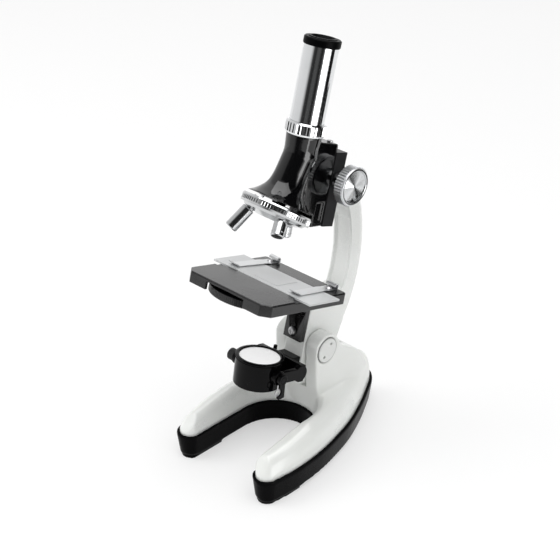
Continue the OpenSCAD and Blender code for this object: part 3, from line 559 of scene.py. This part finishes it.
def soft_copy(node, name, voxel, rounds):
    """A cast or moulded skin over a solid: the same form with small rounded edges."""
    obj = welded_copy(node, name)
    modify(obj, "REMESH", mode="VOXEL", voxel_size=voxel)
    modify(obj, "SMOOTH", factor=0.5, iterations=rounds)
    bpy.ops.object.shade_smooth()
    deselect()
    return obj


def crisp_copy(node, name, width):
    """A copy of a solid whose sharp edges are broken by a narrow bevel."""
    obj = welded_copy(node, name, flatten=True)
    modify(
        obj,
        "BEVEL",
        width=width,
        segments=2,
        limit_method="ANGLE",
        angle_limit=EDGE_ANGLE,
        use_clamp_overlap=False,
        harden_normals=False,
    )
    bpy.ops.object.shade_smooth_by_angle(angle=SMOOTH_ANGLE)
    modify(obj, "WEIGHTED_NORMAL", keep_sharp=True, weight=80)
    deselect()
    return obj


def pick_faces(obj, test):
    """Selects only the faces that pass the test, and leaves the object in edit mode."""
    activate(obj)
    bpy.ops.object.mode_set(mode="EDIT")
    bpy.ops.mesh.select_mode(type="FACE")
    bpy.ops.mesh.select_all(action="DESELECT")
    bpy.ops.object.mode_set(mode="OBJECT")
    for face in obj.data.polygons:
        face.select = test(face)
    bpy.ops.object.mode_set(mode="EDIT")


def inset_steps(steps):
    """Insets the selected faces again and again, by width and height."""
    for thickness, rise in steps:
        bpy.ops.mesh.inset(thickness=thickness, depth=rise)


def turned_knob(name, side):
    """Chrome focus knob: deep pointed knurl, stepped rim and a face turned in fine rings."""
    body = KNOB_THICK - KNOB_LIP
    deselect()
    bpy.ops.mesh.primitive_cylinder_add(
        vertices=KNOB_RIBS * 2,
        radius=KNOB_RADIUS,
        depth=body,
        location=(0, 0, -KNOB_LIP - body / 2),
        end_fill_type="NGON",
    )
    knob = bpy.context.object
    knob.name = name
    bpy.ops.object.transform_apply(location=True, rotation=True, scale=True)
    pick_faces(knob, lambda face: face.normal.z > 0.9)
    inset_steps(FRONT_STEPS)
    step = RING_BAND / (2 * KNOB_RINGS)
    inset_steps(((step, RING_RISE), (step, RING_FALL)) * KNOB_RINGS)
    pick_faces(knob, lambda face: face.normal.z < -0.9)
    inset_steps(BACK_STEPS)
    # knurl: every second edge of the wall sinks
    bpy.ops.mesh.select_mode(type="VERT")
    bpy.ops.mesh.select_all(action="DESELECT")
    bpy.ops.object.mode_set(mode="OBJECT")
    turn = math.pi / KNOB_RIBS
    for vertex in knob.data.vertices:
        x, y, _ = vertex.co
        edge = math.hypot(x, y) > KNOB_RADIUS - WELD
        vertex.select = edge and int(round(math.atan2(y, x) / turn)) % 2 == 0
    bpy.ops.object.mode_set(mode="EDIT")
    small = 1 - RIB_SINK / KNOB_RADIUS
    bpy.ops.transform.resize(value=(small, small, 1), center_override=(0, 0, 0))
    bpy.ops.mesh.select_all(action="SELECT")
    bpy.ops.mesh.normals_make_consistent(inside=False)
    bpy.ops.object.mode_set(mode="OBJECT")
    shift = Matrix.Translation(KNOB_AXIS + Vector((side * KNOB_OUTSIDE, 0.0, 0.0)))
    knob.data.transform(TILT @ shift @ Matrix.Rotation(side * math.radians(90), 4, "Y"))
    activate(knob)
    bpy.ops.object.shade_smooth_by_angle(angle=RING_ANGLE)
    deselect()
    return knob


def coat(mesh, material):
    """Makes the material the mesh's only one."""
    mesh.materials.clear()
    mesh.materials.append(material)


def dress(material, *nodes):
    """Gives CAD nodes a finish."""
    for node in nodes:
        coat(NODES[node].data, material)


def finish_piece(obj, material, body, slot, *nodes):
    """Gives a new piece its finish and its body, and hides the nodes that it stands for."""
    coat(obj.data, material)
    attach(obj, body)
    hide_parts(*nodes)


# ---------------------------------------------------------------- settings


def colour_prop(name, description, default):
    """A colour that a user may change."""
    return bpy.props.FloatVectorProperty(
        name=name,
        description=description,
        default=default,
        size=3,
        min=0,
        max=1,
        subtype="COLOR",
    )


def length_prop(name, description, default, least, most):
    """A length that a user may change, within limits."""
    return bpy.props.FloatProperty(
        name=name,
        description=description,
        default=default,
        min=least,
        max=most,
        unit="LENGTH",
    )


def tint(context, key, share=1.0):
    """A colour of the settings, dimmed by share."""
    return tuple(c * share for c in getattr(context.scene.microscope_colours, key))


class MicroscopeColours(bpy.types.PropertyGroup):
    """Colours of the microscope."""

    enamel: colour_prop("Enamel", "Base and arm", (0.83, 0.845, 0.825))
    gloss: colour_prop("Gloss black", "Head, lamp and eyepiece", (0.0016, 0.0016, 0.0019))
    satin: colour_prop("Satin black", "Focus guide", (0.018, 0.018, 0.019))
    tray: colour_prop("Tray black", "Tray under the base", (0.002, 0.002, 0.0023))
    stage: colour_prop("Stage black", "Stage enamel", (0.003, 0.003, 0.0035))
    plating: colour_prop("Plating", "Chrome pieces", (0.80, 0.81, 0.82))
    mirror: colour_prop("Mirror", "Mirror disc", (0.97, 0.97, 0.975))


class MicroscopeSizes(bpy.types.PropertyGroup):
    """Sizes of the softened skins and of the room."""

    skin: length_prop("Casting skin", "Mesh size of the base", 0.0007, 0.0005, 0.003)
    fine_skin: length_prop("Moulding skin", "Mesh size of the head", 0.00045, 0.0003, 0.002)
    floor: length_prop("Floor radius", "Radius of the round floor", 1.35, 0.5, 5)


# ---------------------------------------------------------------- operators


class MICROSCOPE_OT_castings(bpy.types.Operator):
    """Enamelled castings: the horseshoe base, the arm and the nuts of the tilt pin"""

    bl_idname = "microscope.castings"
    bl_label = "Castings"

    def execute(self, context):
        sizes = context.scene.microscope_sizes
        enamel = white_enamel(tint(context, "enamel"))
        tray = black_gloss("tray_gloss", tint(context, "tray"), rough=0.2, gleam=0.03)
        base = soft_copy("base_casting", "base_casting_skin", sizes.skin, rounds=8)
        finish_piece(base, enamel, "base", "white_paint", "base_casting")
        arm = soft_copy("arm", "arm_skin", ARM_SKIN, rounds=6)
        finish_piece(arm, enamel, "arm_and_stage", "white_paint", "arm")
        skirt = soft_copy("base_tray", "base_tray_skin", TRAY_SKIN, rounds=4)
        finish_piece(skirt, tray, "base", "black_tray", "base_tray")
        # the nuts take the enamel dimmed to 0.9, a painted shade for their side faces
        dress(nut_enamel(tint(context, "enamel", 0.9)), "tilt_nut_right", "tilt_nut_left")
        return {"FINISHED"}


class MICROSCOPE_OT_head(bpy.types.Operator):
    """Black mouldings: the head, the lamp's pieces, the focus guide and the eyepiece"""

    bl_idname = "microscope.head"
    bl_label = "Head"

    def execute(self, context):
        skin = context.scene.microscope_sizes.fine_skin
        colour = tint(context, "gloss")
        gloss = black_gloss("moulded_gloss", colour, rough=0.02, peel_height=0.00004, gleam=0.6)
        head = soft_copy("head_housing", "head_housing_skin", skin, rounds=4)
        finish_piece(head, gloss, "head", "black_gloss", "head_housing")
        lamp = black_gloss("lamp_gloss", colour, rough=0.06, peel_height=0.00004, gleam=0.1)
        for node, body, width in (
            ("lamp_drum", "lamp", 0.00035),
            ("lamp_lever", "lamp", 0.00025),
            ("lamp_yoke", "arm_and_stage", 0.0003),
        ):
            shell = crisp_copy(node, node + "_shell", width)
            finish_piece(shell, lamp, body, "black_gloss", node)
        satin = black_gloss("moulded_satin", tint(context, "satin"), rough=0.3, gleam=0.1)
        dress(satin, "focus_guide")
        dress(black_gloss("cap_satin", colour, rough=0.3, gleam=0.03), "eyepiece_body")
        return {"FINISHED"}


class MICROSCOPE_OT_stage_plate(bpy.types.Operator):
    """Stage plate, aperture wheel and the dull black small pieces"""

    bl_idname = "microscope.stage_plate"
    bl_label = "Stage"

    def execute(self, context):
        colour = tint(context, "stage")
        enamel = black_gloss("stage_enamel", colour, rough=0.2, gleam=0.6)
        plate = crisp_copy("stage", "stage_plate", width=0.00035)
        finish_piece(plate, enamel, "arm_and_stage", "black_enamel", "stage")
        dress(matt_black("dull_black", (0.012, 0.012, 0.0125)), "objective_cells", "lamp_knob")
        dress(black_gloss("wheel_black", colour, rough=0.2, gleam=0.6), "aperture_wheel")
        return {"FINISHED"}


class MICROSCOPE_OT_brightwork(bpy.types.Operator):
    """Chrome tube, collar, nosepiece, lens barrels, knobs and clips, and the steel screws"""

    bl_idname = "microscope.brightwork"
    bl_label = "Brightwork"

    def execute(self, context):
        colour = tint(context, "plating")
        dress(chrome_plate("tube_chrome", colour, rough=0.06), "body_tube", "tube_collar")
        # the nosepiece and the lens barrels take the plating dimmed to 0.74, a painted shade for
        # the darker things they reflect
        dress(
            chrome_plate("nosepiece_chrome", tint(context, "plating", 0.74), rough=0.13),
            "nosepiece_ring",
            "nosepiece_cap",
            "objective_low",
            "objective_mid",
            "objective_high",
        )
        clips = chrome_plate("clip_chrome", tint(context, "plating", 0.8), rough=0.3)
        dress(clips, "clip_right", "clip_left")
        turned = turned_chrome("turned_chrome", colour)
        for side, word in ((1, "right"), (-1, "left")):
            knob = turned_knob("turned_knob_" + word, side)
            finish_piece(knob, turned, "focus_knobs", "chrome", "focus_knob_" + word)
        dress(
            steel("plain_steel", (0.55, 0.55, 0.56), rough=0.28),
            "tray_screws",
            "tilt_pin",
            "guide_screws",
            "focus_rack",
            "housing_screw",
            "pinion_shaft",
            "nosepiece_screw",
            "click_spring",
            "stage_screw",
            "clip_rivet_right",
            "clip_rivet_left",
            "wheel_screw",
            "yoke_screw",
            "lamp_cells",
            "lamp_spring",
        )
        return {"FINISHED"}


class MICROSCOPE_OT_glass(bpy.types.Operator):
    """Glass slide, cover glass, lenses, mirror and lamp"""

    bl_idname = "microscope.glass"
    bl_label = "Glass"

    def execute(self, context):
        # the slide and cover glass are painted pale grey, a painted reflection of the bright
        # room in place of clear glass
        dress(pale_glass("slide_glass", (0.57, 0.58, 0.585)), "glass_slide", "cover_glass")
        lens = clear_glass("lens_glass", (0.96, 0.98, 1.0))
        dress(lens, "eye_lens", "field_lens", "objective_lenses", "lamp_lens")
        dress(silvered("mirror_disc", tint(context, "mirror")), "lamp_mirror")
        dress(frosted("lamp_white", (0.9, 0.9, 0.84)), "lamp_led")
        return {"FINISHED"}


class MICROSCOPE_OT_room(bpy.types.Operator):
    """Pale floor, soft lamps, world and camera"""

    bl_idname = "microscope.room"
    bl_label = "Room"

    def execute(self, context):
        self.floor(context)
        self.world(context)
        self.flags(context)
        self.lamps(context)
        self.camera(context)
        context.scene.view_settings.view_transform = "Standard"
        return {"FINISHED"}

    def floor(self, context):
        """White floor that shows a light shadow and melts into the white behind it."""
        deselect()
        radius = context.scene.microscope_sizes.floor
        bpy.ops.mesh.primitive_circle_add(
            vertices=96, radius=radius, fill_type="NGON", location=(0, 0, 0)
        )
        floor = context.object
        floor.name = "floor"
        f = Finish("floor_white")
        f.set(Base_Color=(0.96, 0.96, 0.96), Roughness=0.9, Specular_IOR_Level=0.0)
        glow = f.node("ShaderNodeEmission", {}, {"Color": WHITE, "Strength": 1.0})
        seen, through, glossy = f.rays("Camera", "Transmission", "Glossy")
        share = (seen + through) * FLOOR_SEEN_GLOW + glossy * FLOOR_GLOSS_GLOW
        f.fill(f.out.inputs["Surface"], f.blend(share, f.shader, glow).outputs[0])
        floor.data.materials.append(f.material)

    def world(self, context):
        """White to the eye, soft on matt faces, and two belts with a ceiling in the chrome."""
        world = bpy.data.worlds.new("studio")
        context.scene.world = world
        world.use_nodes = True
        f = Nodes(world.node_tree)
        x, y, z = f.parts(f.node("ShaderNodeTexCoord").outputs["Generated"])
        bearing = y.sum("ARCTAN2", y, x)
        turns = (bearing + ROOM_TURN) / (2 * math.pi) + 1.5
        share = turns.sum("FRACT", turns)
        low, middle = (
            f.node("ShaderNodeValToRGB", {"stops": belt_stops(belt)}, {"Fac": share}).outputs[0]
            for belt in (LOW_BELT, MIDDLE_BELT)
        )
        sides = f.mix(z.ramp(*LOW_BELT_TOP), low, middle)
        sky = f.mix(z.ramp(*MIDDLE_BELT_TOP), sides, CEILING)
        plain, gloss, soft = (
            f.node("ShaderNodeBackground", {}, {"Color": colour, "Strength": strength})
            for colour, strength in ((WHITE, 1.0), (sky, BELT_PEAK), (WHITE, SOFT_LIGHT))
        )
        seen, through, glossy = f.rays("Camera", "Transmission", "Glossy")
        shown = f.blend(seen + through, f.blend(glossy, soft, gloss), plain)
        f.node("ShaderNodeOutputWorld", {}, {"Surface": shown.outputs[0]})

    def flags(self, context):
        """Dark cards beside the microscope, seen only in its gloss."""
        quarter = math.radians(90)
        for name, bearing, reach, half, height in CARDS:
            deselect()
            bpy.ops.mesh.primitive_plane_add(size=1, location=(0, 0, 0))
            card = context.object
            card.name = name
            angle = math.radians(bearing)
            turn = Matrix.Rotation(angle, 4, "Z") @ Matrix.Rotation(quarter, 4, "Y")
            size = Matrix.Diagonal((height, 2 * half, 1, 1))
            place = Vector((math.cos(angle) * reach, math.sin(angle) * reach, height / 2))
            card.data.transform(Matrix.Translation(place) @ turn @ size)
            f = Finish(name)
            f.set(Base_Color=(0.01, 0.01, 0.01), Roughness=1.0, Specular_IOR_Level=0.0)
            card.data.materials.append(f.material)
            for kind in HIDDEN_FROM:
                setattr(card, "visible_" + kind, False)

    def lamps(self, context):
        """Area lamps; each lights either the matt faces or the gloss."""
        for name, place, aim, width, depth, power, hidden in SOFTBOXES:
            lamp = bpy.data.lights.new(name, "AREA")
            lamp.shape = "RECTANGLE"
            lamp.size = width
            lamp.size_y = depth
            lamp.energy = power
            obj = bpy.data.objects.new(name, lamp)
            context.scene.collection.objects.link(obj)
            obj.location = place
            way = Vector(aim) - Vector(place)
            obj.rotation_euler = way.to_track_quat("-Z", "Y").to_euler()
            setattr(obj, hidden, False)

    def camera(self, context):
        """Camera to the right of the front, looking down."""
        up = CAMERA_BACK.cross(CAMERA_RIGHT)
        right_shift, up_shift = CAMERA_SHIFT
        place = CAMERA_AIM + CAMERA_DISTANCE * CAMERA_BACK
        place = place + right_shift * CAMERA_RIGHT + up_shift * up
        data = bpy.data.cameras.new("camera")
        data.sensor_width = SENSOR_WIDTH
        data.lens = LENS_SHARE * SENSOR_WIDTH
        camera = bpy.data.objects.new("camera", data)
        context.scene.collection.objects.link(camera)
        turn = Matrix((CAMERA_RIGHT, up, CAMERA_BACK)).transposed().to_4x4()
        camera.matrix_world = Matrix.Translation(place) @ turn
        context.scene.camera = camera


class MICROSCOPE_PT_panel(bpy.types.Panel):
    """Buttons for each group of pieces"""

    bl_idname = "MICROSCOPE_PT_panel"
    bl_label = "Microscope"
    bl_space_type = "VIEW_3D"
    bl_region_type = "UI"
    bl_category = "Microscope"

    def draw(self, context):
        for operator in OPERATORS:
            self.layout.operator(operator.bl_idname)
        for group in (context.scene.microscope_colours, context.scene.microscope_sizes):
            for key in group.__annotations__:
                self.layout.prop(group, key)


OPERATORS = (
    MICROSCOPE_OT_room,
    MICROSCOPE_OT_castings,
    MICROSCOPE_OT_head,
    MICROSCOPE_OT_stage_plate,
    MICROSCOPE_OT_brightwork,
    MICROSCOPE_OT_glass,
)
CLASSES = (MicroscopeColours, MicroscopeSizes, *OPERATORS, MICROSCOPE_PT_panel)


def register():
    for cls in CLASSES:
        bpy.utils.register_class(cls)
    bpy.types.Scene.microscope_colours = bpy.props.PointerProperty(type=MicroscopeColours)
    bpy.types.Scene.microscope_sizes = bpy.props.PointerProperty(type=MicroscopeSizes)


def unregister():
    del bpy.types.Scene.microscope_sizes
    del bpy.types.Scene.microscope_colours
    for cls in reversed(CLASSES):
        bpy.utils.unregister_class(cls)


def main():
    register()
    for operator in OPERATORS:
        group, name = operator.bl_idname.split(".")
        getattr(getattr(bpy.ops, group), name)()


if __name__ == "__main__":
    main()
